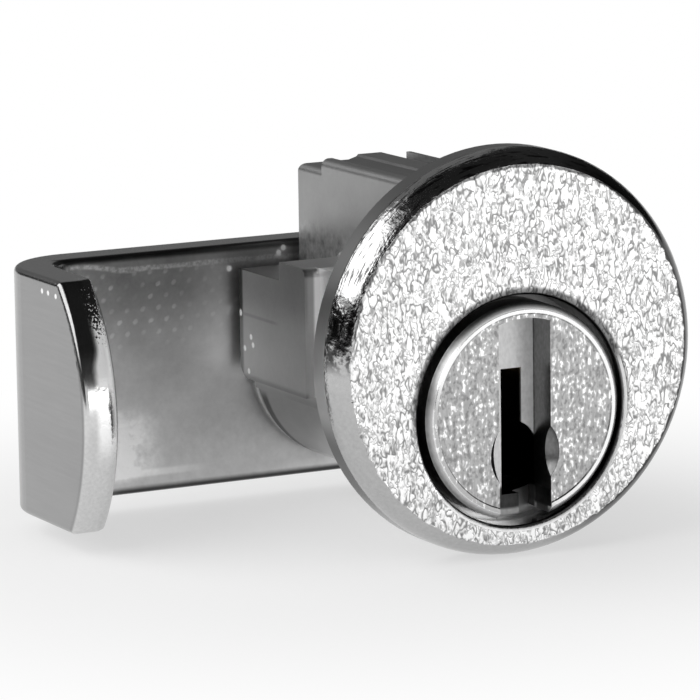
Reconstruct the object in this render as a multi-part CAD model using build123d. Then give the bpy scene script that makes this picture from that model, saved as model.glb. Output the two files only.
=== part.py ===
from build123d import *
import math
import os

# Mailbox lock: a small pin-tumbler lock with an eccentric round face, a pin tower above
# the plug, two side blocks that a mounting clip hooks in front of, and a hooked bolt.
#
# Frame, in millimetres: the origin is where the plug's axis crosses the back of the face,
# which is the plane that lies on the mailbox door. +Z is up, from the plug to the pins.
# -Y points out of the door, at the person with the key. +X is to that person's right.

# Driving sizes: face
face_radius = 11.1          # outside of the round face
face_thickness = 2.9        # from the door plane to the flat front
face_offset = 3.03          # centre of the face above the plug axis
rim_band = 1.3              # straight cylindrical part of the face's edge
bevel_width = 0.8           # how far the rounded bevel runs in from the edge
door_edge_break = 0.15      # small chamfer on the back corner of the face
seat_inner_radius = 9.4     # inside this the back of the face is relieved
seat_relief = 0.15          # so only the outer ring sits on the door

# Driving sizes: body behind the face
body_length = 17.1          # from the door plane to the rear of the body
barrel_radius = 5.85        # round lower half of the body, about the plug axis
block_half_width = 6.87     # side blocks
block_top = 6.64
block_bottom = -0.58
block_front = 9.0           # front of the side blocks: the clip slot ends here
block_step = 12.1           # behind this the side blocks are lower
block_step_top = 5.6
block_edge_round = 0.5      # upper front corner of each side block
block_rear_round = 0.9      # lower rear corner of each side block
core_bottom = -1.3          # flat sides of the core between the side blocks end here
slot_half_width = 5.95      # clip slot floor, left and right
tower_half_width = 3.04     # pin tower
tower_top = 11.89           # top of its two side ribs
tower_length = 14.2         # length of the ribs and of the cover
tower_rear_drop = 0.55      # the lip behind the cover lies this much lower
tower_edge_round = 0.45
tower_root_round = 0.4      # hollow corner between tower and side blocks
rib_width = 0.67            # side ribs left and right of the cover

# Driving sizes: plug
plug_radius = 4.8
plug_clearance = 0.06       # radial running clearance in the body
head_radius = 5.92
head_clearance = 0.36       # open gap round the head, seen as a dark ring
head_depth = 2.2            # head's back below the flat front of the face
head_proud = 0.42           # how far the head stands out of the face
head_rim_radius = 5.57      # bright edge of the head's front
head_bevel_depth = 0.38
head_land_width = 0.2       # narrow flat ring round the head's front
head_dish = 0.06            # the front inside that ring lies this much lower
hole_edge_round = 0.3       # rounded mouth of the hole that the head sits in
end_play = 0.05             # axial play of the plug

channel_width = 3.18        # vertical channel across the plug's front
channel_depth = 1.87
channel_top = 5.1           # upper end of the channel, inside the head's edge
pocket_radius = 2.45        # shallow ball-shaped pocket across the channel
pocket_depth = 1.28         # its deepest point below the head's front
pocket_height = -2.3
keyway_left = -0.47         # the key slot's sides, left and right of the plug's axis
keyway_right = 0.8
keyway_top = 2.1
keyway_wide_right = 1.68    # the lower part of the keyway reaches this far right
keyway_shoulder_top = -0.92
keyway_shoulder_foot = -2.0
keyway_runout_left = 0.6    # left side of the keyway's way out through the head's edge
ledge_height = -4.8         # small ledge left of that way out

# Driving sizes: pins and springs
pin_count = 5
pin_radius = 1.1
pin_clearance = 0.05        # radial clearance of the pins in their holes
first_pin = 1.6             # from the door plane
last_pin_inset = 4.5        # from the rear of the body
key_tip_heights = (0.9, -0.1, 0.5, 1.2, 0.2)
pin_tip_radius = 0.35       # flat on the end of each key pin
shear_gap = 0.12            # from key pin tops inside the plug to driver pin feet outside it
pin_floor = -1.15           # bottom of the pin holes in the plug
pin_floor_gap = 0.05        # left under a key pin that has dropped
driver_length = 2.4
pin_edge_break = 0.15
spring_radius = 0.85        # centre line of the wire
spring_wire = 0.22          # wire diameter
spring_turns = 5
spring_seat_gap = 0.02
cover_thickness = 1.04      # from the top of the ribs to where the springs push
cover_side_gap = 0.03
cover_crown = 0.1           # crown of the cover above the ribs
cover_edge_drop = 0.45      # its side edges below the top of the ribs
cover_bead_width = 1.7      # raised bead along its middle
cover_bead_height = 0.12

# Driving sizes: turn stop, bolt and its fixing
stop_pin_radius = 0.8
stop_pin_inset = 1.4        # from the rear of the body
stop_pin_bite = 0.8         # how deep its tip stands in the plug's groove
stop_pin_below_top = 0.1
stop_groove_gap = 0.1       # under the stop pin's tip
stop_turn = 90              # degrees between the ends of the groove
stop_side_gap = 0.05
fixing_fit = 0.02           # radial gap of pressed and screwed pieces

bolt_gap = 0.6              # between the body and the bolt's arm
bolt_thickness = 2.3
bolt_top = 6.93
bolt_bottom = -6.8
bolt_throw = 20.9           # plug axis to the outside of the hook
bolt_depth = 12.3           # back of the arm to the tip of the hook
bolt_bend_radius = 4.3      # outside of the bend
hook_edge_radius = 10.7     # the hook's front edge is an arc
hook_edge_height = -0.5     # its highest point
hook_outer_round = 0.35
hook_inner_round = 0.9
arm_edge_round = 0.33

tail_radius = 3.4
tail_half_flat = 2.8
tail_fit = 0.04             # between the tail and the hole in the arm
tail_short = 0.05           # the tail ends this much before the back of the arm
thrust_washer_gap = 0.1     # left between the body and the thrust washer
thrust_washer_radius = 5.75
lock_washer_thickness = 0.6
lock_washer_radius = 4.6
lock_washer_teeth = 12
lock_washer_notch = 0.7
screw_radius = 1.75
screw_length = 4.76
screw_hole_depth = 5.0
screw_head_radius = 3.3
screw_head_height = 2.0
screw_head_round = 0.9
screw_slot_width = 0.9
screw_slot_depth = 0.9

# Sizes that follow from those above
face_front = -face_thickness
tower_rear_top = tower_top - tower_rear_drop
cover_floor = tower_top - cover_thickness
bore_radius = plug_radius + plug_clearance
hole_radius = head_radius + head_clearance
head_front = face_front - head_proud
head_back = face_front + head_depth
head_seat = head_back + end_play
channel_floor = head_front + channel_depth
pin_hole_radius = pin_radius + pin_clearance
last_pin = body_length - last_pin_inset
pin_pitch = (last_pin - first_pin) / (pin_count - 1)
pin_places = [first_pin + pin_pitch * i for i in range(pin_count)]
key_pin_top = math.sqrt(plug_radius ** 2 - pin_radius ** 2) - shear_gap / 10
driver_foot = bore_radius + shear_gap / 4
driver_top = driver_foot + driver_length
keyway_end = pin_places[-1] + pin_hole_radius + pin_edge_break
stop_place = body_length - stop_pin_inset
groove_half = stop_pin_radius + stop_side_gap
groove_floor = plug_radius - stop_pin_bite - stop_groove_gap
arm_front = body_length + bolt_gap
arm_back = arm_front + bolt_thickness
tail_end = arm_back - tail_short
hook_tip = arm_back - bolt_depth
washer_back = arm_back + lock_washer_thickness
cover_half_width = tower_half_width - rib_width - cover_side_gap
far = 4 * face_radius       # longer than anything here, for cuts that run right through


def span(x0, x1, y0, y1, z0, z1):
    """A block between two opposite corners."""
    size = (abs(x1 - x0), abs(y1 - y0), abs(z1 - z0))
    return Pos((x0 + x1) / 2, (y0 + y1) / 2, (z0 + z1) / 2) * Box(*size)


def rod_y(radius, y0, y1, x=0, z=0):
    """A round bar along Y."""
    return Pos(x, (y0 + y1) / 2, z) * Rot(90, 0, 0) * Cylinder(radius, y1 - y0)


def rod_x(radius, x0, x1, y=0, z=0):
    """A round bar along X."""
    return Pos((x0 + x1) / 2, y, z) * Rot(0, 90, 0) * Cylinder(radius, x1 - x0)


def rod_z(radius, z0, z1, x=0, y=0):
    """A round bar along Z."""
    return Pos(x, y, (z0 + z1) / 2) * Cylinder(radius, z1 - z0)


def turned_y(points):
    """A solid turned about the Y axis from (radius, y) points."""
    return revolve(make_face(Polyline(*points, close=True)), Axis.Y)


def turned_z(points):
    """A solid turned about the Z axis from (radius, z) points."""
    outline = make_face(Polyline(*[(r, 0, z) for r, z in points], close=True))
    return revolve(outline, Axis.Z)


def prism_y(points, y0, y1):
    """A solid with an (x, z) outline that runs along Y."""
    outline = make_face(Polyline(*[(x, y0, z) for x, z in points], close=True))
    return extrude(outline, amount=y1 - y0, dir=(0, 1, 0))


def edges_at(shape, test):
    """The edges whose middle point passes the test."""
    return [edge for edge in shape.edges() if test(edge.position_at(0.5), edge)]


def near(a, b):
    return abs(a - b) < 0.02


# The housing and its cover
def face_disc():
    """The round face: a straight band, then an arc that meets the flat front at an edge."""
    bevel_depth = face_thickness - rim_band
    bevel_radius = (bevel_width ** 2 + bevel_depth ** 2) / (2 * bevel_width)
    sweep_angle = math.atan2(bevel_depth, bevel_radius - bevel_width) / 2
    middle = (face_radius - bevel_radius + bevel_radius * math.cos(sweep_angle),
              -rim_band - bevel_radius * math.sin(sweep_angle))
    flat_edge = (face_radius - bevel_width, face_front)
    outline = [
        Line((0, 0), (face_radius - door_edge_break, 0)),
        Line((face_radius - door_edge_break, 0), (face_radius, -door_edge_break)),
        Line((face_radius, -door_edge_break), (face_radius, -rim_band)),
        ThreePointArc((face_radius, -rim_band), middle, flat_edge),
        Line(flat_edge, (0, face_front)),
        Line((0, face_front), (0, 0)),
    ]
    disc = revolve(make_face(outline), Axis.Y)
    disc -= rod_y(seat_inner_radius, -seat_relief, 1)
    return Pos(0, 0, face_offset) * disc


def head_hole():
    """Cutter for the hole that the plug's head sits in, with its rounded mouth."""
    outer = hole_radius + hole_edge_round
    corner = hole_edge_round * (1 - math.cos(math.pi / 4))
    outline = [
        Line((0, head_front - 1), (outer, head_front - 1)),
        Line((outer, head_front - 1), (outer, face_front)),
        ThreePointArc((outer, face_front),
                      (hole_radius + corner, face_front + corner),
                      (hole_radius, face_front + hole_edge_round)),
        Line((hole_radius, face_front + hole_edge_round), (hole_radius, head_seat)),
        Line((hole_radius, head_seat), (0, head_seat)),
        Line((0, head_seat), (0, head_front - 1)),
    ]
    return revolve(make_face(outline), Axis.Y)


def body_block():
    """Barrel, side blocks with the clip slot in front of them, and pin tower."""
    root = -rim_band
    body = rod_y(barrel_radius, root, body_length)
    body += span(-slot_half_width, slot_half_width, root, body_length, core_bottom,
                 block_step_top)
    body += span(-slot_half_width, slot_half_width, root, block_step, core_bottom, block_top)
    side = span(-block_half_width, block_half_width, block_front, block_step,
                block_bottom, block_top)
    side += span(-block_half_width, block_half_width, block_step, body_length,
                 block_bottom, block_step_top)
    front_edges = edges_at(side, lambda p, e: near(p.Y, block_front) and near(p.Z, block_top))
    side = fillet(front_edges, block_edge_round)
    rear_edges = edges_at(side, lambda p, e: near(p.Y, body_length) and near(p.Z, block_bottom))
    side = fillet(rear_edges, block_rear_round)
    body += side
    tower = span(-tower_half_width, tower_half_width, root, tower_length, 0, tower_top)
    rim = edges_at(tower, lambda p, e: near(abs(p.X), tower_half_width)
                   and near(p.Z, tower_top))
    tower = fillet(rim, tower_edge_round)
    lip = span(-tower_half_width, tower_half_width, root, body_length, 0, tower_rear_top)
    lip_edges = edges_at(lip, lambda p, e: near(p.Z, tower_rear_top)
                         and (near(abs(p.X), tower_half_width) or near(p.Y, body_length)))
    lip = fillet(lip_edges, tower_edge_round)
    body += tower + lip
    roots = edges_at(body, lambda p, e: near(abs(p.X), tower_half_width)
                     and near(p.Z, block_top) and p.Y > 0)
    return fillet(roots, tower_root_round)


def housing():
    body = body_block() + face_disc()
    body -= head_hole()
    body -= rod_y(bore_radius, head_front - 1, body_length + 1)
    cover_slot = tower_half_width - rib_width
    body -= span(-cover_slot, cover_slot, 0, tower_length, cover_floor, far)
    for y in pin_places:
        body -= rod_z(pin_hole_radius, 0, cover_floor + 0.1, 0, y)
    body -= rod_z(stop_pin_radius + fixing_fit, 0, far, 0, stop_place)
    return body


def chamber_cover():
    """Strip that closes the pin chambers: a low crown with a bead along its middle."""
    half = cover_half_width
    bead = cover_bead_width / 2
    edge = tower_top - cover_edge_drop
    crown = tower_top + cover_crown
    shoulder = crown - cover_bead_height
    outline = [(-half, cover_floor), (half, cover_floor), (half, edge),
               (bead, shoulder), (bead - cover_bead_height, crown),
               (cover_bead_height - bead, crown), (-bead, shoulder), (-half, edge)]
    return prism_y(outline, cover_side_gap, tower_length - cover_side_gap)


# The plug and what is cut into it
def keyway():
    """The stepped key slot, open downwards, from the channel's floor to behind the last pin."""
    left = keyway_left
    right = keyway_right
    foot = -far
    bend = ((right + keyway_wide_right * 3) / 4, (keyway_shoulder_top + keyway_shoulder_foot) / 2)
    y = channel_floor
    corners = [(right, keyway_shoulder_top), (right, keyway_top), (left, keyway_top),
               (left, ledge_height), (keyway_runout_left, ledge_height),
               (keyway_runout_left, foot), (keyway_wide_right, foot),
               (keyway_wide_right, keyway_shoulder_foot)]
    outline = Polyline(*[(x, y, z) for x, z in corners]).edges()
    outline.append(ThreePointArc((keyway_wide_right, y, keyway_shoulder_foot),
                                 (bend[0], y, bend[1]),
                                 (right, y, keyway_shoulder_top)))
    slot = extrude(make_face(outline), amount=keyway_end - y, dir=(0, 1, 0))
    shank_slot = span(left, keyway_wide_right, head_back, keyway_end,
                      foot, keyway_shoulder_foot)
    return slot + shank_slot


def front_channel():
    """Channel with the ball-shaped pocket; its upper end stays inside the head's edge."""
    channel = span(-channel_width / 2, channel_width / 2, head_front - 1, channel_floor,
                   -far, channel_top)
    inside = rod_y(channel_top, head_front - 1, channel_floor)
    channel = channel & (inside + span(-far, far, head_front - 1, channel_floor, -far, 0))
    ball_centre = head_front + pocket_depth - pocket_radius
    ball = Pos(0, ball_centre, pocket_height) * Sphere(pocket_radius)
    return channel + ball


def stop_groove():
    """Quarter-turn groove for the stop pin, with round ends, at the plug's rear."""
    outer = plug_radius + 1
    y0 = stop_place - groove_half
    y1 = stop_place + groove_half
    section = Polyline((0, y0, groove_floor), (0, y1, groove_floor), (0, y1, outer),
                       (0, y0, outer), close=True)
    groove = revolve(make_face(section), Axis((0, 0, 0), (0, -1, 0)), stop_turn)
    end = rod_z(groove_half, groove_floor, outer, 0, stop_place)
    return groove + end + Rot(0, -stop_turn, 0) * end


def plug():
    dish = head_front + head_dish
    inner_land = head_rim_radius - head_land_width
    body = turned_y([(0, dish), (inner_land - head_dish, dish), (inner_land, head_front),
                     (head_rim_radius, head_front),
                     (head_radius, head_front + head_bevel_depth), (head_radius, head_back),
                     (plug_radius, head_back), (plug_radius, arm_front),
                     (tail_radius, arm_front), (tail_radius, tail_end), (0, tail_end)])
    for side in (-1, 1):
        body -= span(-far, far, arm_front, arm_back, side * tail_half_flat, side * far)
    body -= front_channel()
    body -= keyway()
    for y in pin_places:
        body -= rod_z(pin_hole_radius, pin_floor, far, 0, y)
    body -= stop_groove()
    body -= rod_y(screw_radius + fixing_fit, tail_end - screw_hole_depth, arm_back)
    return body


def stop_pin():
    tip = groove_floor + stop_groove_gap
    return rod_z(stop_pin_radius, tip, tower_rear_top - stop_pin_below_top, 0, stop_place)


# Pins and springs, one set for each chamber
def key_pin(place, tip):
    """Lower pin with a 45 degree point that stands on the key."""
    cone = pin_radius - pin_tip_radius
    points = [(0, tip), (pin_tip_radius, tip), (pin_radius, tip + cone),
              (pin_radius, key_pin_top), (0, key_pin_top)]
    return Pos(0, place, 0) * turned_z(points)


def driver_pin(place):
    e = pin_edge_break
    points = [(0, driver_foot), (pin_radius - e, driver_foot), (pin_radius, driver_foot + e),
              (pin_radius, driver_top - e), (pin_radius - e, driver_top), (0, driver_top)]
    return Pos(0, place, 0) * turned_z(points)


def biarc(start, start_dir, end, end_dir):
    """Two tangent arcs from one point and direction to another."""
    chord = end - start
    total = start_dir + end_dir
    a = total.dot(total) - 4
    b = chord.dot(total)
    leg = (b - math.sqrt(b * b - a * chord.dot(chord))) / a
    knee = (start + start_dir * leg + end - end_dir * leg) / 2
    knee_dir = (end - end_dir * leg - start - start_dir * leg).normalized()
    return [TangentArc(start, knee, tangent=start_dir), TangentArc(knee, end, tangent=knee_dir)]


def spring(place):
    """Pin spring: a round wire on a steady coil between driver pin and cover."""
    low = driver_top + spring_wire / 2 + spring_seat_gap
    high = cover_floor - spring_wire / 2 - spring_seat_gap
    rise = (high - low) / (2 * math.pi * spring_turns)

    def point(t):
        return Vector(spring_radius * math.cos(t), place + spring_radius * math.sin(t),
                      low + rise * t)

    def heading(t):
        return Vector(-spring_radius * math.sin(t), spring_radius * math.cos(t),
                      rise).normalized()

    quarters = [math.pi / 2 * i for i in range(4 * spring_turns + 1)]
    edges = []
    for t0, t1 in zip(quarters, quarters[1:]):
        edges += biarc(point(t0), heading(t0), point(t1), heading(t1))
    section = Plane(origin=point(0), z_dir=heading(0)) * Circle(spring_wire / 2)
    return sweep(section, path=Wire([e for arc in edges for e in arc.edges()]))


# The bolt and what fixes it
def hook_bolt():
    """Flat arm on the plug's tail, bent forward into a hook with an arched front edge."""
    inner = bolt_bend_radius - bolt_thickness
    bend_x = bolt_bend_radius - bolt_throw
    bend_y = arm_back - bolt_bend_radius
    inside_x = bolt_thickness - bolt_throw
    diagonal = math.cos(math.pi / 4)
    outline = [
        Line((0, arm_back), (bend_x, arm_back)),
        ThreePointArc((bend_x, arm_back),
                      (bend_x - bolt_bend_radius * diagonal, bend_y + bolt_bend_radius * diagonal),
                      (-bolt_throw, bend_y)),
        Line((-bolt_throw, bend_y), (-bolt_throw, hook_tip)),
        Line((-bolt_throw, hook_tip), (inside_x, hook_tip)),
        Line((inside_x, hook_tip), (inside_x, bend_y)),
        ThreePointArc((inside_x, bend_y),
                      (bend_x - inner * diagonal, bend_y + inner * diagonal),
                      (bend_x, arm_front)),
        Line((bend_x, arm_front), (0, arm_front)),
        Line((0, arm_front), (0, arm_back)),
    ]
    bolt = Pos(0, 0, bolt_bottom) * extrude(make_face(outline), amount=bolt_top - bolt_bottom)
    arc_centre = hook_tip + hook_edge_radius
    waste = span(-far, inside_x + 1, hook_tip - 1, arc_centre - 1, -far, far)
    waste -= rod_x(hook_edge_radius, -far, far, arc_centre, hook_edge_height)
    bolt -= waste
    end_radius = (bolt_top - bolt_bottom) / 2
    bolt += rod_y(end_radius, arm_front, arm_back, 0, bolt_top - end_radius)
    inner_edge = edges_at(bolt, lambda p, e: near(p.X, inside_x) and p.Y < hook_tip + 1
                          and abs(p.Z) < 2)
    bolt = fillet(inner_edge, hook_inner_round)
    outer_edge = edges_at(bolt, lambda p, e: near(p.X, -bolt_throw) and p.Y < hook_tip + 1
                          and abs(p.Z) < 2)
    bolt = fillet(outer_edge, hook_outer_round)
    arm_edges = edges_at(bolt, lambda p, e: near(p.Y, arm_front) and p.X < 0
                         and e.geom_type == GeomType.LINE)
    bolt = fillet(arm_edges, arm_edge_round)
    hole = rod_y(tail_radius + tail_fit, arm_front - 1, arm_back + 1)
    flat = tail_half_flat + tail_fit
    hole = hole & span(-far, far, arm_front - 1, arm_back + 1, -flat, flat)
    return bolt - hole


def ring_y(outer, inner, y0, y1):
    return rod_y(outer, y0, y1) - rod_y(inner, y0 - 1, y1 + 1)


def thrust_washer():
    return ring_y(thrust_washer_radius, bore_radius, body_length + thrust_washer_gap, arm_front)


def lock_washer():
    washer = ring_y(lock_washer_radius, screw_radius + tail_fit, arm_back, washer_back)
    for i in range(lock_washer_teeth):
        notch = span(screw_head_radius, far, arm_back - 1, washer_back + 1,
                     -lock_washer_notch / 2, lock_washer_notch / 2)
        washer -= Rot(0, 360 / lock_washer_teeth * i, 0) * notch
    return washer


def bolt_screw():
    head_end = washer_back + screw_head_height
    head = rod_y(screw_head_radius, washer_back, head_end)
    rim = edges_at(head, lambda p, e: near(p.Y, head_end))
    head = fillet(rim, screw_head_round)
    head -= span(-far, far, head_end - screw_slot_depth, head_end + 1,
                 -screw_slot_width / 2, screw_slot_width / 2)
    return head + rod_y(screw_radius, washer_back - screw_length, washer_back)


def save(shape, name):
    shape.label = name
    export_step(shape, "parts/" + name + ".step")
    print("%-16s %9.3f mm3" % (name, shape.volume))


os.makedirs("parts", exist_ok=True)
save(housing(), "housing")
save(chamber_cover(), "chamber_cover")
save(plug(), "plug")
save(stop_pin(), "stop_pin")
for number, (place, tip) in enumerate(zip(pin_places, key_tip_heights), 1):
    save(key_pin(place, tip), "key_pin_%d" % number)
    save(driver_pin(place), "driver_pin_%d" % number)
    save(spring(place), "spring_%d" % number)
    print("drop of key pin %d: %.3f mm" % (number, tip - pin_floor - pin_floor_gap))
save(thrust_washer(), "thrust_washer")
save(hook_bolt(), "hook_bolt")
save(lock_washer(), "lock_washer")
save(bolt_screw(), "bolt_screw")
gap = (cover_floor - driver_top - spring_wire - 2 * spring_seat_gap) / spring_turns - spring_wire
print("least gap between spring turns: %.3f mm" % gap)
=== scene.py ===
# %% [markdown]
# # A small plated lock with a hooked bolt
# The solids of the lock are already made. This lesson gives every one of them the metal it has on
# the real lock, then builds the studio round it and sets the camera where the photographer stood.
# Lengths in Blender are metres, but patterns are easier to think about in millimetres.

# %% Load the lock
from types import SimpleNamespace

import bpy
import numpy as np
from mathutils import Matrix, Vector


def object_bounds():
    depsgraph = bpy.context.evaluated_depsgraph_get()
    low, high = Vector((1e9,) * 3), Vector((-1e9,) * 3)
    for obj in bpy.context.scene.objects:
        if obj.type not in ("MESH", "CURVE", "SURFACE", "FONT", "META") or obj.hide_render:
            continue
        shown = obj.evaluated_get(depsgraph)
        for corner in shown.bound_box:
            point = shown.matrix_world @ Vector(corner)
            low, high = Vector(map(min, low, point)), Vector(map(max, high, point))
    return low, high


MM = 0.001
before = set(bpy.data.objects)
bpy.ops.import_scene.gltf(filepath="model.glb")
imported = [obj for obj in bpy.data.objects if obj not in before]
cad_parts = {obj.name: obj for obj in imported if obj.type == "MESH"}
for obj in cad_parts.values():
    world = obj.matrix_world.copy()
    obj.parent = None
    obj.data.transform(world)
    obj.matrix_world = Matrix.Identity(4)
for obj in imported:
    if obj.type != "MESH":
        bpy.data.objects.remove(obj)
cad_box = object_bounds()
print("lock spans, mm:", [round(v / MM, 2) for corner in cad_box for v in corner])

# %% [markdown]
# ## Shader maths as plain expressions
# A metal's pattern is arithmetic on the place of a point: how far it is from the face's centre, how
# high it is, how a noise runs there. A small class wraps one output of a node, and the signs
# +, -, * and / on it add the Math node that does the sum.


# %% The wire
class Wire:
    """One output of a node. Arithmetic on it adds Math nodes and gives their output."""

    def __init__(self, desk, socket):
        self.desk = desk
        self.socket = socket

    def part(self, name):
        """Another output of the same node."""
        return Wire(self.desk, self.socket.node.outputs[name])

    def __add__(self, other):
        return self.desk.sum("ADD", self, other)

    def __radd__(self, other):
        return self.desk.sum("ADD", other, self)

    def __sub__(self, other):
        return self.desk.sum("SUBTRACT", self, other)

    def __rsub__(self, other):
        return self.desk.sum("SUBTRACT", other, self)

    def __mul__(self, other):
        return self.desk.sum("MULTIPLY", self, other)

    def __rmul__(self, other):
        return self.desk.sum("MULTIPLY", other, self)

    def __truediv__(self, other):
        return self.desk.sum("DIVIDE", self, other)


# %% The desk
class Desk:
    """A tree of nodes, with one method that adds any node to it."""

    def __init__(self, tree):
        self.tree = tree
        tree.nodes.clear()

    def node(self, kind, settings=None, inputs=None, out=0):
        """Adds a node: its settings first, then a value or a wire for each input."""
        made = self.tree.nodes.new(kind)
        for name, value in (settings or {}).items():
            setattr(made, name, value)
        for name, value in (inputs or {}).items():
            if isinstance(value, Wire):
                self.tree.links.new(value.socket, made.inputs[name])
            else:
                made.inputs[name].default_value = value
        return Wire(self, made.outputs[out]) if made.outputs else made

    def sum(self, operation, first, second=0.0):
        """A Math node: the operation on one value or two."""
        return self.node("ShaderNodeMath", {"operation": operation}, {0: first, 1: second})

    def most(self, first, second):
        """The larger of the two."""
        return self.sum("MAXIMUM", first, second)

    def size(self, wire):
        """The value without its sign."""
        return self.sum("ABSOLUTE", wire)

    def length(self, first, second):
        """The root of first squared plus second squared."""
        return self.sum("SQRT", first * first + second * second)

    def step(self, start, end, wire, low=0.0, high=1.0):
        """Goes smoothly from low to high while the wire goes from start to end."""
        return self.node("ShaderNodeMapRange", {"interpolation_type": "SMOOTHSTEP"},
                         {"Value": wire, "From Min": start, "From Max": end,
                          "To Min": low, "To Max": high})


# %% [markdown]
# ## Places and patterns
# A pattern has to stay on the metal when the bolt swings, so it reads Object coordinates, which are
# fixed to each piece. Three patterns do most of the work: a noise whose grain has a given length,
# thin lines where a noise crosses its middle value, and round white spots for painted highlights.


# %% The bench
class Bench(Desk):
    """A desk that knows places on the lock, in millimetres, and the patterns metal shows."""

    def vector(self, operation, first, second, socket=1):
        """A Vector Math node: the operation on a place and a second value."""
        return self.node("ShaderNodeVectorMath", {"operation": operation},
                         {0: first, socket: second})

    def place(self):
        """The point's place on the lock."""
        where = self.node("ShaderNodeTexCoord", out="Object")
        return self.vector("SCALE", where, 1.0 / MM, socket="Scale")

    def parts(self, place):
        """The place's x, y and z."""
        split = self.node("ShaderNodeSeparateXYZ", None, {0: place}, out="X")
        return split, split.part("Y"), split.part("Z")

    def ring(self, place, height):
        """Distance from the axis that runs front to back at that height."""
        x, _, z = self.parts(place)
        return self.length(x, z - height)

    def noise(self, place, grain, detail=2.0, rough=0.5, warp=0.0):
        """Noise whose grain has one length, or one each along X, Y and Z."""
        grain = tuple(float(g) for g in np.broadcast_to(grain, 3))
        return self.node("ShaderNodeTexNoise", None,
                         {"Vector": self.vector("DIVIDE", place, grain), "Scale": 1.0,
                          "Detail": detail, "Roughness": rough, "Distortion": warp})

    def worms(self, place, grain, width, warp):
        """1 on thin wandering lines, 0 between them: where a noise crosses its middle value."""
        return self.step(width, 0.0, self.size(self.noise(place, grain, 1.0, 0.55, warp) - 0.5))

    def round_spots(self, first, second, spots, size):
        """1 on round spots of that radius; first and second run along the surface."""
        hit = 0.0
        for a, b in spots:
            hit = self.most(hit, self.step(size, size * 0.4, self.length(first - a, second - b)))
        return hit

    def bump(self, height, strength, depth):
        """Tilts the surface as a relief of that depth would."""
        return self.node("ShaderNodeBump", None,
                         {"Strength": strength, "Distance": depth * MM, "Height": height},
                         out="Normal")


# %% One call for every metal
def metal(slot, pattern):
    """Fills the slot's material: pattern(bench, place) gives what changes over the surface."""
    made = next(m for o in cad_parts.values() for m in o.data.materials if m.name == slot)
    bench = Bench(made.node_tree)
    inputs = {"Metallic": 1.0}
    inputs.update(pattern(bench, bench.place()))
    shader = bench.node("ShaderNodeBsdfPrincipled", None, inputs)
    bench.node("ShaderNodeOutputMaterial", None, {"Surface": shader})
    print(slot, "has", len(bench.tree.nodes), "nodes")


# %% [markdown]
# ## The housing: where its surfaces lie
# The housing is one zinc casting, plated. Its grained front, its smooth bevel, the straight edge of
# the face, the wall of the plug's hole and the sides that go into the door each take the light in
# their own way. They could be separate materials on separate faces, but the solid's mesh stays as
# it is. So one material does all of it with masks: 1 on its own surface and 0 elsewhere.

# %% Housing: masks
FACE_HEIGHT = 3.03  # the face's centre, above the plug's axis
FACE_FRONT = -2.9  # the flat front; the back of the face is at 0
FACE_EDGE = 10.3  # the flat front reaches this far from the face's centre
RIM_BAND = -1.3  # the bevel ends and the straight edge begins
HOLE_RADIUS = 6.28  # the hole that the plug's head sits in, about the plug's axis


def housing_zones(bench, place):
    """Distances, noises and masks that the housing's patterns share; ragged is radius plus noise."""
    x, y, z = bench.parts(place)
    radius = bench.ring(place, FACE_HEIGHT)
    coarse = bench.noise(place, 0.55, 2.0, 0.6)
    ragged = radius + 0.36 * (coarse - 0.5)
    worn = bench.step(0.0, 6.0, x, 0.0, 0.14)
    front = bench.step(FACE_FRONT + 0.12, FACE_FRONT + 0.04, y)
    front = front * bench.step(FACE_EDGE + 0.06, FACE_EDGE - 0.02, ragged + worn)
    bevel = bench.step(RIM_BAND + 0.02, RIM_BAND - 0.08, y) * bench.step(9.0, 9.2, radius)
    return SimpleNamespace(
        x=x, y=y, z=z, across=bench.size(x), radius=radius, hole=bench.ring(place, 0.0),
        coarse=coarse, ragged=ragged, speck=bench.noise(place, 0.24, 3.0, 0.65),
        cloud=bench.noise(place, 3.0, 3.0), front=front, bevel=bevel * (1.0 - front),
        side=bench.step(0.2, 0.6, y), upper_left=bench.step(-2.0, 3.0, z - x - FACE_HEIGHT))


# %% [markdown]
# ## The housing: the grained front
# The front was brushed up and down before plating, and its grain shows as fine grey lines on white.
# A noise used as it is would give blots. Two nets of thin lines do better, each broken where a
# second noise is low or high, with a few short dark strokes between them. Where the front meets the
# bevel at the upper left, a ragged dark line is drawn.

# %% Housing: front
STROKE, LINE, TWIG = (0.23, 5.0, 0.36), (0.38, 5.0, 0.66), (0.26, 5.0, 0.38)
GRAIN_DEPTH = 0.76
LINE_WIDTH = 0.11


def front_look(bench, place, zone):
    """The marks, 1 on a line, and the tone: white less the marks, less the ragged border."""
    upright = bench.noise(place, (0.30, 5.0, 2.0), 1.0)
    strokes = bench.noise(place, STROKE, 1.0, 0.5, 0.3) + 0.4 * (upright - 0.5)
    breaks = bench.noise(place, (0.40, 5.0, 0.60), 1.0)
    lines = bench.worms(place, LINE, LINE_WIDTH, 0.3) * bench.step(0.30, 0.54, breaks)
    twigs = bench.worms(place, TWIG, LINE_WIDTH, 0.2) * bench.step(0.62, 0.40, breaks)
    marks = bench.step(0.48, 0.22, strokes) * 0.85
    marks = bench.most(marks, bench.most(lines, twigs * 0.8))

    border = bench.step(0.13, 0.04, bench.size(zone.ragged - (FACE_EDGE - 0.08)))
    border = border * zone.upper_left * bench.step(2.0, 4.5, zone.z)
    border = border * bench.step(0.38, 0.5, zone.cloud)
    return marks, (1.0 - GRAIN_DEPTH * marks) * (1.0 - 0.8 * border)
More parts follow.
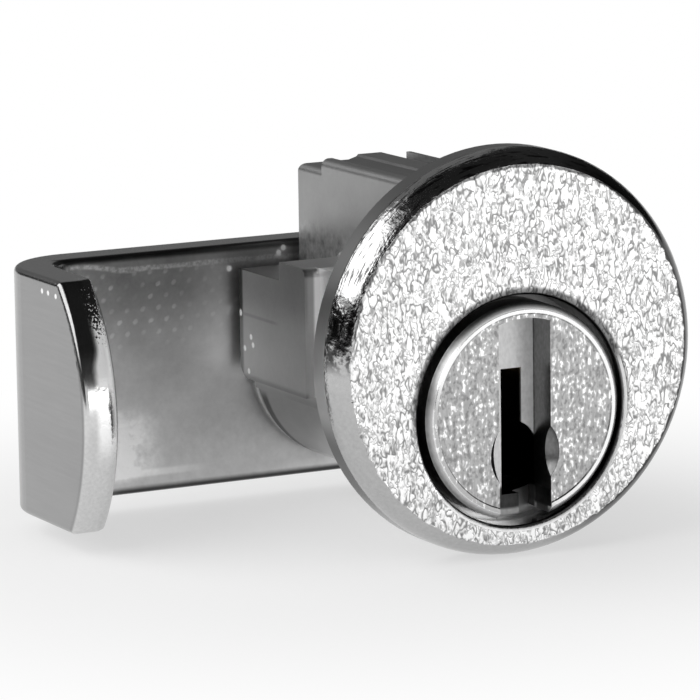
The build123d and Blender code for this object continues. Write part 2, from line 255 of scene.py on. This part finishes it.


# %% [markdown]
# ## The housing: bevel, edge and hole
# The bevel was polished, then handled. At the upper left a noise wrapped round the face's centre
# draws dark streaks along the rim, a dull worn spot sits at the far left, and toward the right the
# bevel is darkened with painted shade. The straight edge behind it and the wall of the hole are
# plain mirrors, and what they would show is painted into their tone as painted reflection, which
# changes slowly from place to place. The hole's rounded mouth has a painted highlight on its lip
# low down, and painted shade above.

# %% Housing: bevel, edge and hole
BEVEL_TONE = 0.50
STREAKS = (8.0, 0.2, 0.2)  # streaks for each radian round the rim, their width, their depth


def bevel_look(bench, zone):
    """Where the upper streaks are, the streaks, and the tone: grey less streaks, wear and painted
    shade.
    """
    turn = bench.sum("ARCTAN2", zone.x, zone.z - FACE_HEIGHT)
    around = bench.node("ShaderNodeCombineXYZ", None,
                        {0: turn * STREAKS[0], 1: zone.radius / STREAKS[1],
                         2: zone.y / STREAKS[2]})
    streak = bench.noise(around, 1.0, 3.0, 0.6)
    upper = zone.upper_left * bench.step(2.5, 6.0, zone.z)
    tone = BEVEL_TONE + 0.16 * (zone.speck - 0.5)
    tone = tone * (1.0 - 0.8 * upper * bench.step(0.46, 0.38, streak))
    # Painted shade: the bevel darker toward the right.
    tone = tone * bench.step(1.0, 6.0, zone.x, 1.0, 0.15)
    worn = bench.step(-9.0, -9.8, zone.x) * bench.step(2.6, 3.8, zone.z)
    worn = worn * bench.step(7.4, 6.4, zone.z) * bench.step(0.62, 0.46, zone.coarse)
    return upper, streak, tone * (1.0 - 0.85 * worn)


def edge_look(bench, zone):
    """Painted reflection on the straight edge and the hole's wall: steps of height, darker at the
    right.
    """
    x, z = zone.x, zone.z
    tone = bench.step(7.0, 3.5, z, 0.26, 0.78) * bench.step(2.5, -1.5, z, 1.0, 0.16)
    tone = tone + bench.step(-3.5, -6.5, z, 0.0, 0.36)
    wall = bench.step(HOLE_RADIUS + 0.17, HOLE_RADIUS + 0.07, zone.hole)
    tone = tone * (1.0 - 0.75 * (1.0 - wall) * bench.step(2.0, 7.0, x))
    tone = tone * (1.0 - 0.6 * wall * bench.step(2.0, 5.5, z))
    return tone + 0.08 * (zone.cloud - 0.5)


def mouth_look(bench, zone):
    """The hole's rounded mouth: a painted highlight on the lip low down, and a ring of painted shade
    above.
    """
    x, y, z, hole = zone.x, zone.y, zone.z, zone.hole
    lip = bench.step(HOLE_RADIUS + 0.34, HOLE_RADIUS + 0.29, hole)
    lip = lip * bench.step(HOLE_RADIUS + 0.12, HOLE_RADIUS + 0.17, hole)
    lip = lip * bench.step(FACE_FRONT + 0.4, FACE_FRONT + 0.3, y)
    lip = lip * bench.step(0.5, 2.0, 0.6 * x - z)
    grey = bench.step(HOLE_RADIUS + 0.56, HOLE_RADIUS + 0.32, hole)
    grey = grey * bench.step(FACE_FRONT + 0.5, FACE_FRONT + 0.4, y)
    return lip, grey * bench.step(-2.0, 1.0, z)


# %% [markdown]
# ## The housing: sides
# Behind the face the casting keeps its satin skin. On the left side the flat core between the clip
# slots is painted light, brighter upward, where it lies in shade; it is the brightest part of the
# sides. A faint parting seam runs along the side blocks. Painted shade darkens their rear edges,
# their lower edges and the barrel's rear end, at the gap before the bolt, and the blocks are painted
# a little lighter low down, and darker high up on their outer strips. A few small white spots on
# the left one are painted highlights. The masks follow the solid's sizes.

# %% Housing: sides
SATIN_TONE = 0.34
CORE_HALF_WIDTH, BLOCK_HALF_WIDTH, TOWER_HALF_WIDTH = 5.95, 6.87, 3.04
BLOCK_FRONT, BLOCK_STEP, BODY_REAR = 9.0, 12.1, 17.1
SEAM_HEIGHT = 3.11
BLOCK_GLINTS = ((15.73, 1.89), (16.52, 1.14), (15.49, 1.46), (16.06, -0.11), (17.0, 3.1))
GLINT_RADIUS = 0.26


def side_look(bench, zone):
    """Tone of the satin sides with painted light and shade, and the painted highlights on the left
    block.
    """
    x, y, z, side = zone.x, zone.y, zone.z, zone.side
    block = side * bench.step(4.6, 6.0, zone.across) * bench.step(-1.2, -0.7, z)
    core = block * bench.step(-CORE_HALF_WIDTH - 0.45, -CORE_HALF_WIDTH - 0.25, x)
    core = core * bench.step(-4.0, -5.0, x) * bench.step(BLOCK_FRONT + 0.2, BLOCK_FRONT - 0.1, y)
    wings = block * bench.step(BLOCK_HALF_WIDTH - 0.27, BLOCK_HALF_WIDTH - 0.07, zone.across)
    foot = side * bench.step(TOWER_HALF_WIDTH + 0.56, TOWER_HALF_WIDTH - 0.14, zone.across)
    foot = foot * bench.step(8.6, 6.8, z)

    tone = SATIN_TONE + 0.10 * (zone.cloud - 0.5) + 0.05 * (zone.speck - 0.5)
    # Painted light on the left core, brighter upward.
    tone = tone + core * bench.step(0.0, 4.0, z, 0.33, 0.62)
    # Painted light low on the blocks; two lines down, painted shade high on their outer strips.
    tone = tone + block * bench.step(3.0, 0.0, z, 0.04, 0.11)
    tone = tone + foot * (0.10 + 0.9 * (zone.coarse - 0.5))
    tone = tone - 0.09 * wings * bench.step(2.6, 4.6, z)

    seam = bench.step(0.14, 0.04, bench.size(z - SEAM_HEIGHT))
    seam = seam * bench.step(BLOCK_STEP - 0.1, BLOCK_STEP + 0.9, y)
    # Painted shade: the blocks' rear edges and lower edges, and the barrel's rear end.
    rear = bench.step(BODY_REAR - 0.55, BODY_REAR - 0.25, y) * bench.step(2.6, 3.2, z, 0.55, 0.95)
    under = bench.step(-0.20, -0.50, z, 0.0, 0.35)
    dark = bench.most(bench.most(rear, under), seam * 0.2)
    barrel = side * bench.step(BODY_REAR - 0.9, BODY_REAR - 0.5, y) * bench.step(-1.3, -2.0, z)
    # Painted highlights: small white spots on the left block.
    painted_glints = bench.round_spots(y, z, BLOCK_GLINTS, GLINT_RADIUS)
    return (tone * (1.0 - wings * dark) * (1.0 - 0.8 * barrel),
            wings * bench.step(0.0, -1.0, x) * painted_glints)


# %% [markdown]
# ## The housing: put together
# Each surface's tone is multiplied by its mask and the products are added. The painted highlights on
# the lip and in the small white spots read as white from every side, which a mirror never does, so
# they are made less metallic.


# %% Housing
def body_plate(bench, place):
    """Tone: the sum of mask times tone over the four surfaces, with the painted highlights on top.
    """
    zone = housing_zones(bench, place)
    front, bevel, side = zone.front, zone.bevel, zone.side
    marks, front_tone = front_look(bench, place, zone)
    upper, streak, bevel_tone = bevel_look(bench, zone)
    side_tone, painted_glints = side_look(bench, zone)
    lip, mouth = mouth_look(bench, zone)
    tone = front * front_tone + bevel * bevel_tone + side * side_tone
    tone = tone + (1.0 - front - bevel - side) * edge_look(bench, zone)
    painted_white = bench.most(lip, painted_glints)
    pits = zone.upper_left * (zone.coarse * 2.0 + zone.speck * 0.8)
    relief = bevel * (pits + upper * streak * 1.5) + side * zone.speck * 0.25
    relief = relief - front * marks * 0.5
    # The mouth's painted shade darkens the tone, and the painted highlights go on top.
    return {"Base Color": bench.most(tone * (1.0 - 0.72 * mouth), painted_white),
            "Roughness": 0.32 - 0.18 * bevel + 0.06 * side,
            "Metallic": 1.0 - 0.85 * painted_white, "Normal": bench.bump(relief, 0.5, 0.03)}


metal("body_plate", body_plate)

# %% [markdown]
# ## The chamber cover
# The strip in the tower's top is stamped from sheet and rolled along its length, so its grain runs
# front to back and it is darker than the casting round it.

# %% Cover
COVER_TONE = 0.26


def cover_plate(bench, place):
    """A dark grey plus a little of a long grain and of a slow cloud."""
    rolled = bench.noise(place, (0.25, 4.0, 0.25), 3.0)
    cloud = bench.noise(place, (1.5, 2.5, 1.5), 2.0)
    tone = COVER_TONE + 0.10 * (rolled - 0.5) + 0.06 * (cloud - 0.5)
    return {"Base Color": tone, "Roughness": 0.34 + 0.1 * (cloud - 0.5),
            "Normal": bench.bump(rolled, 0.4, 0.02)}


metal("cover_plate", cover_plate)


# %% [markdown]
# ## The plug's metal
# The plug's front was turned flat, then brushed with the face, so it shows upright streaks, and
# glints are painted along them. A narrow ring at its edge carries a painted highlight, whiter toward
# the upper right, and the bevel outside it is painted pale, lighter toward the top. The channel's
# floor is matt from the cutter. It takes the light evenly, so it is made less metallic. Painted
# shade darkens the channel's walls, its foot, the inside next to the rim and the keyway's depth.

# %% Plug
HEAD_FRONT = -3.32  # the plug's head stands a little out of the face
HEAD_RADIUS, HEAD_RIM = 5.92, 5.57  # outside of the head, and its front's bright edge
CHANNEL_HALF_WIDTH, CHANNEL_TOP, CHANNEL_FLOOR = 1.59, 5.1, -1.45


def plug_front(bench, place, y, radius):
    """Masks of the front and its ring, a noise, the relief, and tone: grey, streaks, painted glints.
    """
    front = bench.step(HEAD_FRONT + 0.10, HEAD_FRONT + 0.07, y)
    ring = front * bench.step(HEAD_RIM - 0.23, HEAD_RIM - 0.17, radius)
    streak = bench.noise(place, (0.22, 4.0, 1.6))
    glint = bench.noise(place, (0.20, 0.20, 0.28), 1.0)
    sparkle = bench.step(0.54, 0.66, glint) * bench.step(0.38, 0.58, streak)
    tone = 0.42 + 0.30 * (streak - 0.5) + 0.55 * sparkle
    tone = tone - 0.14 * bench.step(0.48, 0.34, glint)
    return front, ring, glint, streak * 0.6 + glint * 0.5, tone


def plug_plate(bench, place):
    """Tone: front and painted ring, or inside; painted bevel added, painted shade taken off."""
    x, y, z = bench.parts(place)
    radius = bench.ring(place, 0.0)
    front, ring, glint, front_relief, front_tone = plug_front(bench, place, y, radius)

    floor = bench.step(CHANNEL_FLOOR - 0.30, CHANNEL_FLOOR - 0.15, y)
    floor = floor * bench.step(CHANNEL_FLOOR + 0.25, CHANNEL_FLOOR + 0.01, y)
    wall = bench.step(CHANNEL_HALF_WIDTH - 0.07, CHANNEL_HALF_WIDTH - 0.02, bench.size(x))
    wall = wall * bench.step(CHANNEL_TOP + 0.1, CHANNEL_TOP - 0.1, radius)
    rim = bench.step(HEAD_RIM - 0.07, HEAD_RIM + 0.03, radius)
    foot = bench.step(-4.2, -4.5, z) * bench.step(-0.8, -0.5, x) * bench.step(5.7, 5.5, radius)
    matt = floor * (1.0 - wall) * (1.0 - foot)
    inside = 0.42 + 0.30 * (glint - 0.5) + 0.45 * matt
    # Painted shade: the walls, the inside next to the rim and the foot are darker.
    inside = inside * (1.0 - 0.5 * wall) * (1.0 - 0.45 * rim) * (1.0 - 0.9 * foot)

    # Painted highlight on the ring, whiter toward the upper right.
    rim_highlight_tone = bench.step(-5.2, -2.5, z + x, 0.50, 0.95)
    bevel = bench.step(HEAD_FRONT + 0.52, HEAD_FRONT + 0.37, y)
    bevel = bevel * bench.step(HEAD_RADIUS - 0.04, HEAD_RIM + 0.05, radius)
    bevel = bevel * bench.step(HEAD_RIM - 0.01, HEAD_RIM + 0.03, radius)
    tone = bench.most(front * front_tone, rim_highlight_tone * ring) + (1.0 - front) * inside
    # Painted light on the bevel, lighter toward the top.
    tone = tone + bevel * bench.step(-1.0, 5.0, z, 0.38, 0.70)
    # Painted shade in the keyway's depth.
    tone = tone * (1.0 - 0.85 * bench.step(CHANNEL_FLOOR + 0.05, CHANNEL_FLOOR + 0.35, y))
    relief = front * front_relief + floor * glint * 0.5
    return {"Base Color": tone, "Roughness": 0.32 - 0.12 * ring,
            "Metallic": 1.0 - 0.75 * matt - 0.5 * bevel,
            "Normal": bench.bump(relief, 0.5, 0.03)}


metal("plug_plate", plug_plate)


# %% [markdown]
# ## The bolt: its arm
# The bolt is a bent strip of steel, brightly plated. The arm keeps a faint staggered lattice of
# dimples near its upper edge and a pale mottled patch beside the hook. Its tone carries painted
# reflection, darker high up and lighter low down, painted highlights along its top and bottom, and
# painted shade at its top and bottom edges. The lattice is counted out with Floor and Fract: each
# row of cells is moved on by half a cell, and a dimple is a short distance from its middle.

# %% Bolt: arm
ARM_FRONT = 17.7
DIMPLE_PITCH = (0.97, 0.68)
TOP_HIGHLIGHT, LOW_HIGHLIGHT = (5.98, 6.42), -5.65  # heights of the arm's painted highlights
ARM_GLINTS = ((-7.2, 5.55), (-3.75, 6.45), (-4.05, 6.2))


def dimples(bench, x, z, speck, cloud):
    """1 in a dimple: near the middle of a leaning cell, fading to both ends of the lattice."""
    row = z / DIMPLE_PITCH[1]
    up = bench.sum("FRACT", row) - 0.5
    along = bench.sum("FRACT", x / DIMPLE_PITCH[0] + 0.5 * bench.sum("FLOOR", row)) - 0.5
    lean = along - 0.22 * up
    spot = bench.sum("SQRT", lean * lean * 1.4 + up * up * 0.6) + 0.2 * (speck - 0.5)
    fade = bench.step(0.8, 3.0, z) * bench.step(6.2, 5.6, z)
    fade = fade * bench.step(-6.5, -13.0, x, 0.35, 1.0)
    return bench.step(0.24, 0.08, spot) * fade * bench.step(0.28, 0.6, cloud)


def arm_look(bench, x, z, arm, noises):
    """Dimples, patch, and tone: a painted slope, clouds, dimples, painted highlights, the patch."""
    speck, mottle, cloud = noises
    dimple = dimples(bench, x, z, speck, cloud)
    # Painted reflection: darker high up, lighter low down.
    tone = bench.step(6.0, 0.5, z, 0.34, 0.70) - bench.step(0.0, -5.0, z, 0.0, 0.08)
    tone = tone + 0.30 * bench.step(-11.0, -7.2, x) * bench.step(-3.0, 1.0, z)
    tone = tone + 0.18 * (cloud - 0.5) + 0.14 * (mottle - 0.5) + 0.24 * dimple
    tone = tone + 0.06 * (speck - 0.5)

    # Painted highlights along the arm's top and bottom.
    crest = z - bench.step(-13.0, -16.5, x, *TOP_HIGHLIGHT) - 0.3 * (cloud - 0.5)
    top_highlight = bench.step(0.22, 0.06, bench.size(crest))
    low_highlight = bench.step(0.30, 0.08, bench.size(z - LOW_HIGHLIGHT)) * bench.step(-8.0, -12.0, x)
    tone = tone + top_highlight * bench.step(0.3, 0.7, speck, 0.10, 0.40) + low_highlight * 0.2

    patch = bench.step(-11.0, -16.5, x) * bench.step(-1.5, -3.2, z)
    patch = patch * bench.step(-6.3, -5.2, z) * arm
    tone = tone + patch * (1.0 + 2.0 * (mottle - 0.5))
    # Painted shade along the bottom edge near the hook, and along the top edge.
    tone = tone * (1.0 - 0.9 * bench.step(-6.25, -6.6, z) * bench.step(-17.5, -14.0, x))
    return dimple, patch, tone * bench.step(6.4, 6.65, z, 1.0, 0.25)


# %% [markdown]
# ## The bolt: the hook's edge
# The hook's front edge is an arc, cut and then polished. Its inner border carries painted
# highlights: bright grains in the upper half, and lower down a smooth white strip. Higher up, the
# edge is painted darker as painted reflection. The highlights are made less metallic, as the white
# spots are. Where the strip lies is given below.

# %% Bolt: hook
HOOK_OUTSIDE = -20.9
EDGE_CENTRE, EDGE_RADIUS = (18.4, -0.5), 10.7  # the front edge is an arc, seen from the side
HOOK_GLINTS = ((12.85, 6.17), (12.05, 6.17), (11.05, 6.12))


def hook_look(bench, place, parts, speck):
    """Masks of the edge and its inner border, the painted highlights on it, and the edge's tone."""
    x, y, z = parts
    reach = bench.length(y - EDGE_CENTRE[0], z - EDGE_CENTRE[1])
    on_edge = bench.step(EDGE_RADIUS - 0.5, EDGE_RADIUS - 0.2, reach)
    on_edge = on_edge * bench.step(-18.3, -18.6, x)
    on_edge = on_edge * bench.step(HOOK_OUTSIDE + 0.02, HOOK_OUTSIDE + 0.10, x)
    border = bench.step(3.6, 2.4, z, -19.95, -20.25)
    inner = on_edge * bench.step(0.0, 0.45, x - border)
    # Painted highlights: bright grains up high, a white strip lower down.
    fine = bench.noise(place, (0.11, 0.11, 0.14), 2.0, 0.6)
    sparse = bench.step(6.2, 3.0, z, 0.62, 0.22)
    glint_grains = bench.step(0.0, 0.10, fine - sparse) * bench.step(7.0, 6.2, z)
    highlight_strip = inner * bench.step(2.4, 1.9, z) * bench.step(-3.0, -0.8, z)
    painted_sparkle = inner * bench.most(glint_grains * bench.step(1.0, 1.6, z),
                               highlight_strip * bench.step(-19.15, -18.95, x))
    # Painted reflection: the edge is darker high up and whiter on the strip.
    tone = 0.64 + 0.20 * (speck - 0.5) - 0.34 * bench.step(2.6, 3.6, z) + 0.40 * highlight_strip
    return on_edge, inner, painted_sparkle, tone


# %% [markdown]
# ## The bolt: put together
# Every other face of the bolt is plain plating with a faint rolled grain. Its tone is low, because
# the wide flat faces mirror the white room, and a mirror of white is as bright as its own tone. It
# is painted a little lighter low down.

# %% Bolt
PLAIN_TONE = 0.305


def bolt_plate(bench, place):
    """Tone: arm, edge or plain by mask, with the painted highlights on top."""
    x, y, z = bench.parts(place)
    arm = bench.step(ARM_FRONT + 0.25, ARM_FRONT + 0.05, y)
    arm = arm * bench.step(ARM_FRONT - 0.3, ARM_FRONT - 0.1, y) * bench.step(-18.5, -17.8, x)
    speck = bench.noise(place, 0.20, 2.0, 0.6)
    mottle = bench.noise(place, 0.5, 2.0, 0.6)
    cloud = bench.noise(place, 2.5)
    rolled = bench.noise(place, (5.0, 5.0, 0.22), 3.0, 0.6)
    dimple, patch, arm_tone = arm_look(bench, x, z, arm, (speck, mottle, cloud))
    on_edge, inner, painted_sparkle, edge_tone = hook_look(bench, place, (x, y, z), speck)

    # Painted highlights: small white spots on the hook's outside and on the arm.
    painted_glints = bench.step(HOOK_OUTSIDE + 0.10, HOOK_OUTSIDE + 0.02, x)
    painted_glints = painted_glints * bench.round_spots(y, z, HOOK_GLINTS, 0.22)
    painted_glints = bench.most(painted_glints, arm * bench.round_spots(x, z, ARM_GLINTS, GLINT_RADIUS))
    painted_white = bench.most(painted_sparkle, painted_glints)

    plain = PLAIN_TONE + 0.03 * (cloud - 0.5) + 0.05 * (rolled - 0.5)
    # Painted light: a little lighter low down.
    plain = plain + bench.step(-2.0, -6.5, z) * 0.05
    tone = arm * arm_tone + on_edge * edge_tone
    tone = tone + (1.0 - bench.most(arm, on_edge)) * plain
    relief = arm * dimple * 0.5 + patch * mottle * 1.5 + inner * speck
    relief = relief + 0.25 * rolled * (1.0 - on_edge)
    return {"Base Color": bench.most(tone, painted_white * 0.97),
            "Roughness": 0.22 + 0.16 * arm - 0.08 * on_edge + 0.08 * (cloud - 0.5),
            "Metallic": 1.0 - 0.85 * painted_white, "Normal": bench.bump(relief, 0.5, 0.03)}


metal("bolt_plate", bolt_plate)


# %% [markdown]
# ## Pins, springs, washers and screw
# These come from a lathe or off a coil of wire, so their grain is fine rings or lines. Brass is
# warm and soft, the springs are drawn steel wire, and the washers and the screw are zinc-plated.
# The stop pin and the thrust washer, in the narrow gap before the bolt, are dark with painted shade.

# %% Brass pins and drawn springs
CLEAN_BRASS, STAINED_BRASS = (0.78, 0.56, 0.25, 1.0), (0.58, 0.38, 0.15, 1.0)


def pin_brass(bench, place):
    """Colour: clean brass, mixed with stained brass by a noise; relief: rings along the pin."""
    rings = bench.noise(place, (3.0, 3.0, 0.05))
    share = bench.step(0.35, 0.75, bench.noise(place, 0.8, 3.0))
    colour = bench.node("ShaderNodeMix", {"data_type": "RGBA"},
                        {0: share, 6: CLEAN_BRASS, 7: STAINED_BRASS}, out=2)
    return {"Base Color": colour, "Roughness": 0.28 + 0.15 * (rings - 0.5),
            "Normal": bench.bump(rings, 0.4, 0.01)}


def spring_wire(bench, place):
    """A steel grey plus a little of a fine noise."""
    drawn = bench.noise(place, 0.12)
    return {"Base Color": 0.62 + 0.12 * (drawn - 0.5), "Roughness": 0.3 + 0.1 * (drawn - 0.5),
            "Normal": bench.bump(drawn, 0.2, 0.01)}


metal("pin_brass", pin_brass)
metal("spring_wire", spring_wire)


# %% Turned steel
def turned_steel(tone, ring_mm):
    """Turned steel: noise of the distance from the plug's axis, and painted shade in the gap."""

    def pattern(bench, place):
        y = bench.parts(place)[1]
        spun = bench.node("ShaderNodeCombineXYZ", None,
                          {0: bench.ring(place, 0.0) / ring_mm, 1: y / 0.6})
        marks = bench.noise(spun, 1.0)
        cloud = bench.noise(place, 0.9, 3.0)
        # Painted shade in the gap before the bolt.
        gap_shade = bench.step(ARM_FRONT - 0.3, ARM_FRONT - 0.1, y, 0.3, 1.0)
        return {"Base Color": (tone + 0.16 * (marks - 0.5) + 0.1 * (cloud - 0.5)) * gap_shade,
                "Roughness": 0.3 + 0.15 * (cloud - 0.5),
                "Normal": bench.bump(marks, 0.4, 0.02)}

    return pattern


metal("pin_steel", turned_steel(0.36, 0.05))
metal("washer_steel", turned_steel(0.5, 0.12))
metal("screw_steel", turned_steel(0.55, 0.10))

# %% [markdown]
# ## The floor
# The lock rests on the lowest point of its round face. The floor is plain and pale. Far from the
# lock it gives the camera a pure white, and close to it, it keeps the soft shadow. Light Path tells
# the two kinds of ray apart: those that see the floor, and those that only carry its light.


# %% Grids and rays
def grid_object(name, points):
    """A stage object from a grid of points: each four neighbours make one face."""
    rows, columns = points.shape[:2]
    index = np.arange(rows * columns).reshape(rows, columns)
    quads = np.stack([index[:-1, :-1], index[1:, :-1], index[1:, 1:], index[:-1, 1:]], -1)
    mesh = bpy.data.meshes.new(name)
    mesh.from_pydata(points.reshape(-1, 3).tolist(), [], quads.reshape(-1, 4).tolist())
    made = bpy.data.objects.new(name, mesh)
    bpy.context.scene.collection.objects.link(made)
    return made


def seen(desk):
    """1 for rays from the camera, a mirror or glass, 0 for those that only carry light."""
    rays = desk.node("ShaderNodeLightPath", out="Is Camera Ray")
    return desk.most(rays, desk.most(rays.part("Is Glossy Ray"),
                                     rays.part("Is Transmission Ray")))


# %% Floor
FLOOR_Z = cad_box[0].z
FLOOR_HALF = 3.0
PAPER_COLOUR = (0.9, 0.9, 0.9, 1.0)
SHADOW_CENTRE = (-5.0, 8.0)
SHADOW_REACH = (16.0, 48.0)  # from here to here the floor turns from shaded to pure white
NEAR_WHITE = 0.55  # share of pure white close to the lock

s, t = np.meshgrid([-FLOOR_HALF, FLOOR_HALF], [-FLOOR_HALF, FLOOR_HALF], indexing="ij")
floor = grid_object("floor", np.stack([s, t, np.full_like(s, FLOOR_Z)], -1))
paper = bpy.data.materials.new("floor_paper")
paper.use_nodes = True
bench = Bench(paper.node_tree)
x, y, _ = bench.parts(bench.place())
away = bench.length(x - SHADOW_CENTRE[0], y - SHADOW_CENTRE[1])
matt = bench.node("ShaderNodeBsdfDiffuse", None, {"Color": PAPER_COLOUR})
white = bench.node("ShaderNodeEmission", None, {"Strength": 1.0})
mixed = bench.node("ShaderNodeMixShader", None,
                   {0: seen(bench) * bench.step(*SHADOW_REACH, away, NEAR_WHITE, 1.0),
                    1: matt, 2: white})
bench.node("ShaderNodeOutputMaterial", None, {"Surface": mixed})
floor.data.materials.append(paper)
print("floor lies at", round(FLOOR_Z / MM, 2), "mm")

# %% [markdown]
# ## Studio cards
# A plated surface shows what stands round it. A photographer hangs dark cards over bright metal so
# that its edges read as black lines. The cards are curved sheets, patches of a ball round the lock,
# and only reflections see them.

# %% Cards
CARD_POINTS = (25, 13)
CARDS = (  # name, turn from and to, height from and to, distance in metres, tone
    ("ceiling", (-180.0, 180.0), (60.0, 90.0), 0.80, 0.02),
    ("right_flag", (15.0, 150.0), (7.0, 62.0), 0.78, 0.03),
    ("back_flag", (148.0, 215.0), (2.0, 62.0), 0.76, 0.20),
    ("left_flag", (-165.0, -30.0), (-0.5, 17.0), 0.74, 0.03),
    ("front_flag", (-52.0, 20.0), (12.0, 62.0), 0.79, 0.03),
)


def direction(turn, height):
    """Unit vector from degrees: turn runs round the lock from the front, height above level."""
    turn, height = np.radians(turn), np.radians(height)
    return np.stack([np.sin(turn) * np.cos(height), -np.cos(turn) * np.cos(height),
                     np.sin(height)], -1)


def card(name, turns, heights, distance, tone):
    """A patch of a ball: distance times the direction, over a grid of turns and heights."""
    turn, height = np.meshgrid(np.linspace(*turns, CARD_POINTS[0]),
                               np.linspace(*heights, CARD_POINTS[1]), indexing="ij")
    made = grid_object(name, distance * direction(turn, height))
    shade = bpy.data.materials.new(name + "_card")
    shade.use_nodes = True
    desk = Desk(shade.node_tree)
    glow = desk.node("ShaderNodeEmission", None, {"Color": (tone, tone, tone, 1.0)})
    desk.node("ShaderNodeOutputMaterial", None, {"Surface": glow})
    made.data.materials.append(shade)
    made.visible_camera = made.visible_diffuse = made.visible_shadow = False
    print(name, "has", len(made.data.polygons), "faces and tone", tone)


for row in CARDS:
    card(*row)

# %% [markdown]
# ## Light
# The light is a plain studio: a soft even glow from all round, and two soft boxes, one high at the
# front left and one low at the front right. A soft box's power follows from how bright it should
# look and from its size.


# %% Lamps and world
def soft_box(name, turn, height, distance, size, radiance):
    """A soft box that faces the lock; its power is pi x radiance x area."""
    toward = Vector(direction(turn, height))
    lamp = bpy.data.lights.new(name, "AREA")
    lamp.shape = "RECTANGLE"
    lamp.size, lamp.size_y = size
    lamp.energy = np.pi * radiance * size[0] * size[1]
    made = bpy.data.objects.new(name, lamp)
    made.rotation_mode = "QUATERNION"
    made.rotation_quaternion = toward.to_track_quat("Z", "Y")
    made.location = toward * distance
    bpy.context.scene.collection.objects.link(made)
    print(name, "gives", round(lamp.energy, 3), "W")


soft_box("left_box", turn=-105.0, height=38.0, distance=0.60, size=(1.00, 0.42), radiance=2.0)
soft_box("right_box", turn=38.0, height=4.0, distance=0.70, size=(0.60, 0.10), radiance=3.6)

WORLD_GLOW = 0.6  # strength of the light from all round; what is seen of the world is 1, white
world = bpy.data.worlds.new("studio")
bpy.context.scene.world = world
world.use_nodes = True
desk = Desk(world.node_tree)
glow = desk.node("ShaderNodeBackground", None,
                 {"Strength": desk.step(0.0, 1.0, seen(desk), WORLD_GLOW, 1.0)})
desk.node("ShaderNodeOutputWorld", None, {"Surface": glow})

# %% [markdown]
# ## Camera
# The camera stands front left of the lock and a little above it, close enough for some perspective.
# Its turn, height, roll and distance came from matching the round face, the tower and the hook
# with the photograph. It aims a little beside the lock's origin, which centres the lock.

# %% Camera
TURN, TILT, ROLL = 0.4816058, 0.1770852, -0.0136426
DISTANCE, SIDE, RISE = 253.1764, 9.2016, 3.2719
LENS_PX, PICTURE_PX = 4725.211, 700.0
SENSOR = 36.0

forward = Vector((np.sin(TURN) * np.cos(TILT), np.cos(TURN) * np.cos(TILT), -np.sin(TILT)))
level = Vector((np.cos(TURN), -np.sin(TURN), 0.0))
upright = level.cross(forward)
right = np.cos(ROLL) * level + np.sin(ROLL) * upright
up = np.cos(ROLL) * upright - np.sin(ROLL) * level
spot = -SIDE * right + RISE * up - DISTANCE * forward + Vector((0.0, FACE_FRONT, 0.0))

eye = bpy.data.cameras.new("camera")
eye.sensor_width = SENSOR
eye.lens = SENSOR * LENS_PX / PICTURE_PX
eye.clip_start, eye.clip_end = 0.01, 20.0
camera = bpy.data.objects.new("camera", eye)
facing = Matrix((right, up, -forward)).transposed()
camera.matrix_world = Matrix.Translation(spot * MM) @ facing.to_4x4()
bpy.context.scene.collection.objects.link(camera)
bpy.context.scene.camera = camera
bpy.context.scene.view_settings.view_transform = "Standard"
print("camera stands at, mm:", [round(v, 1) for v in spot])
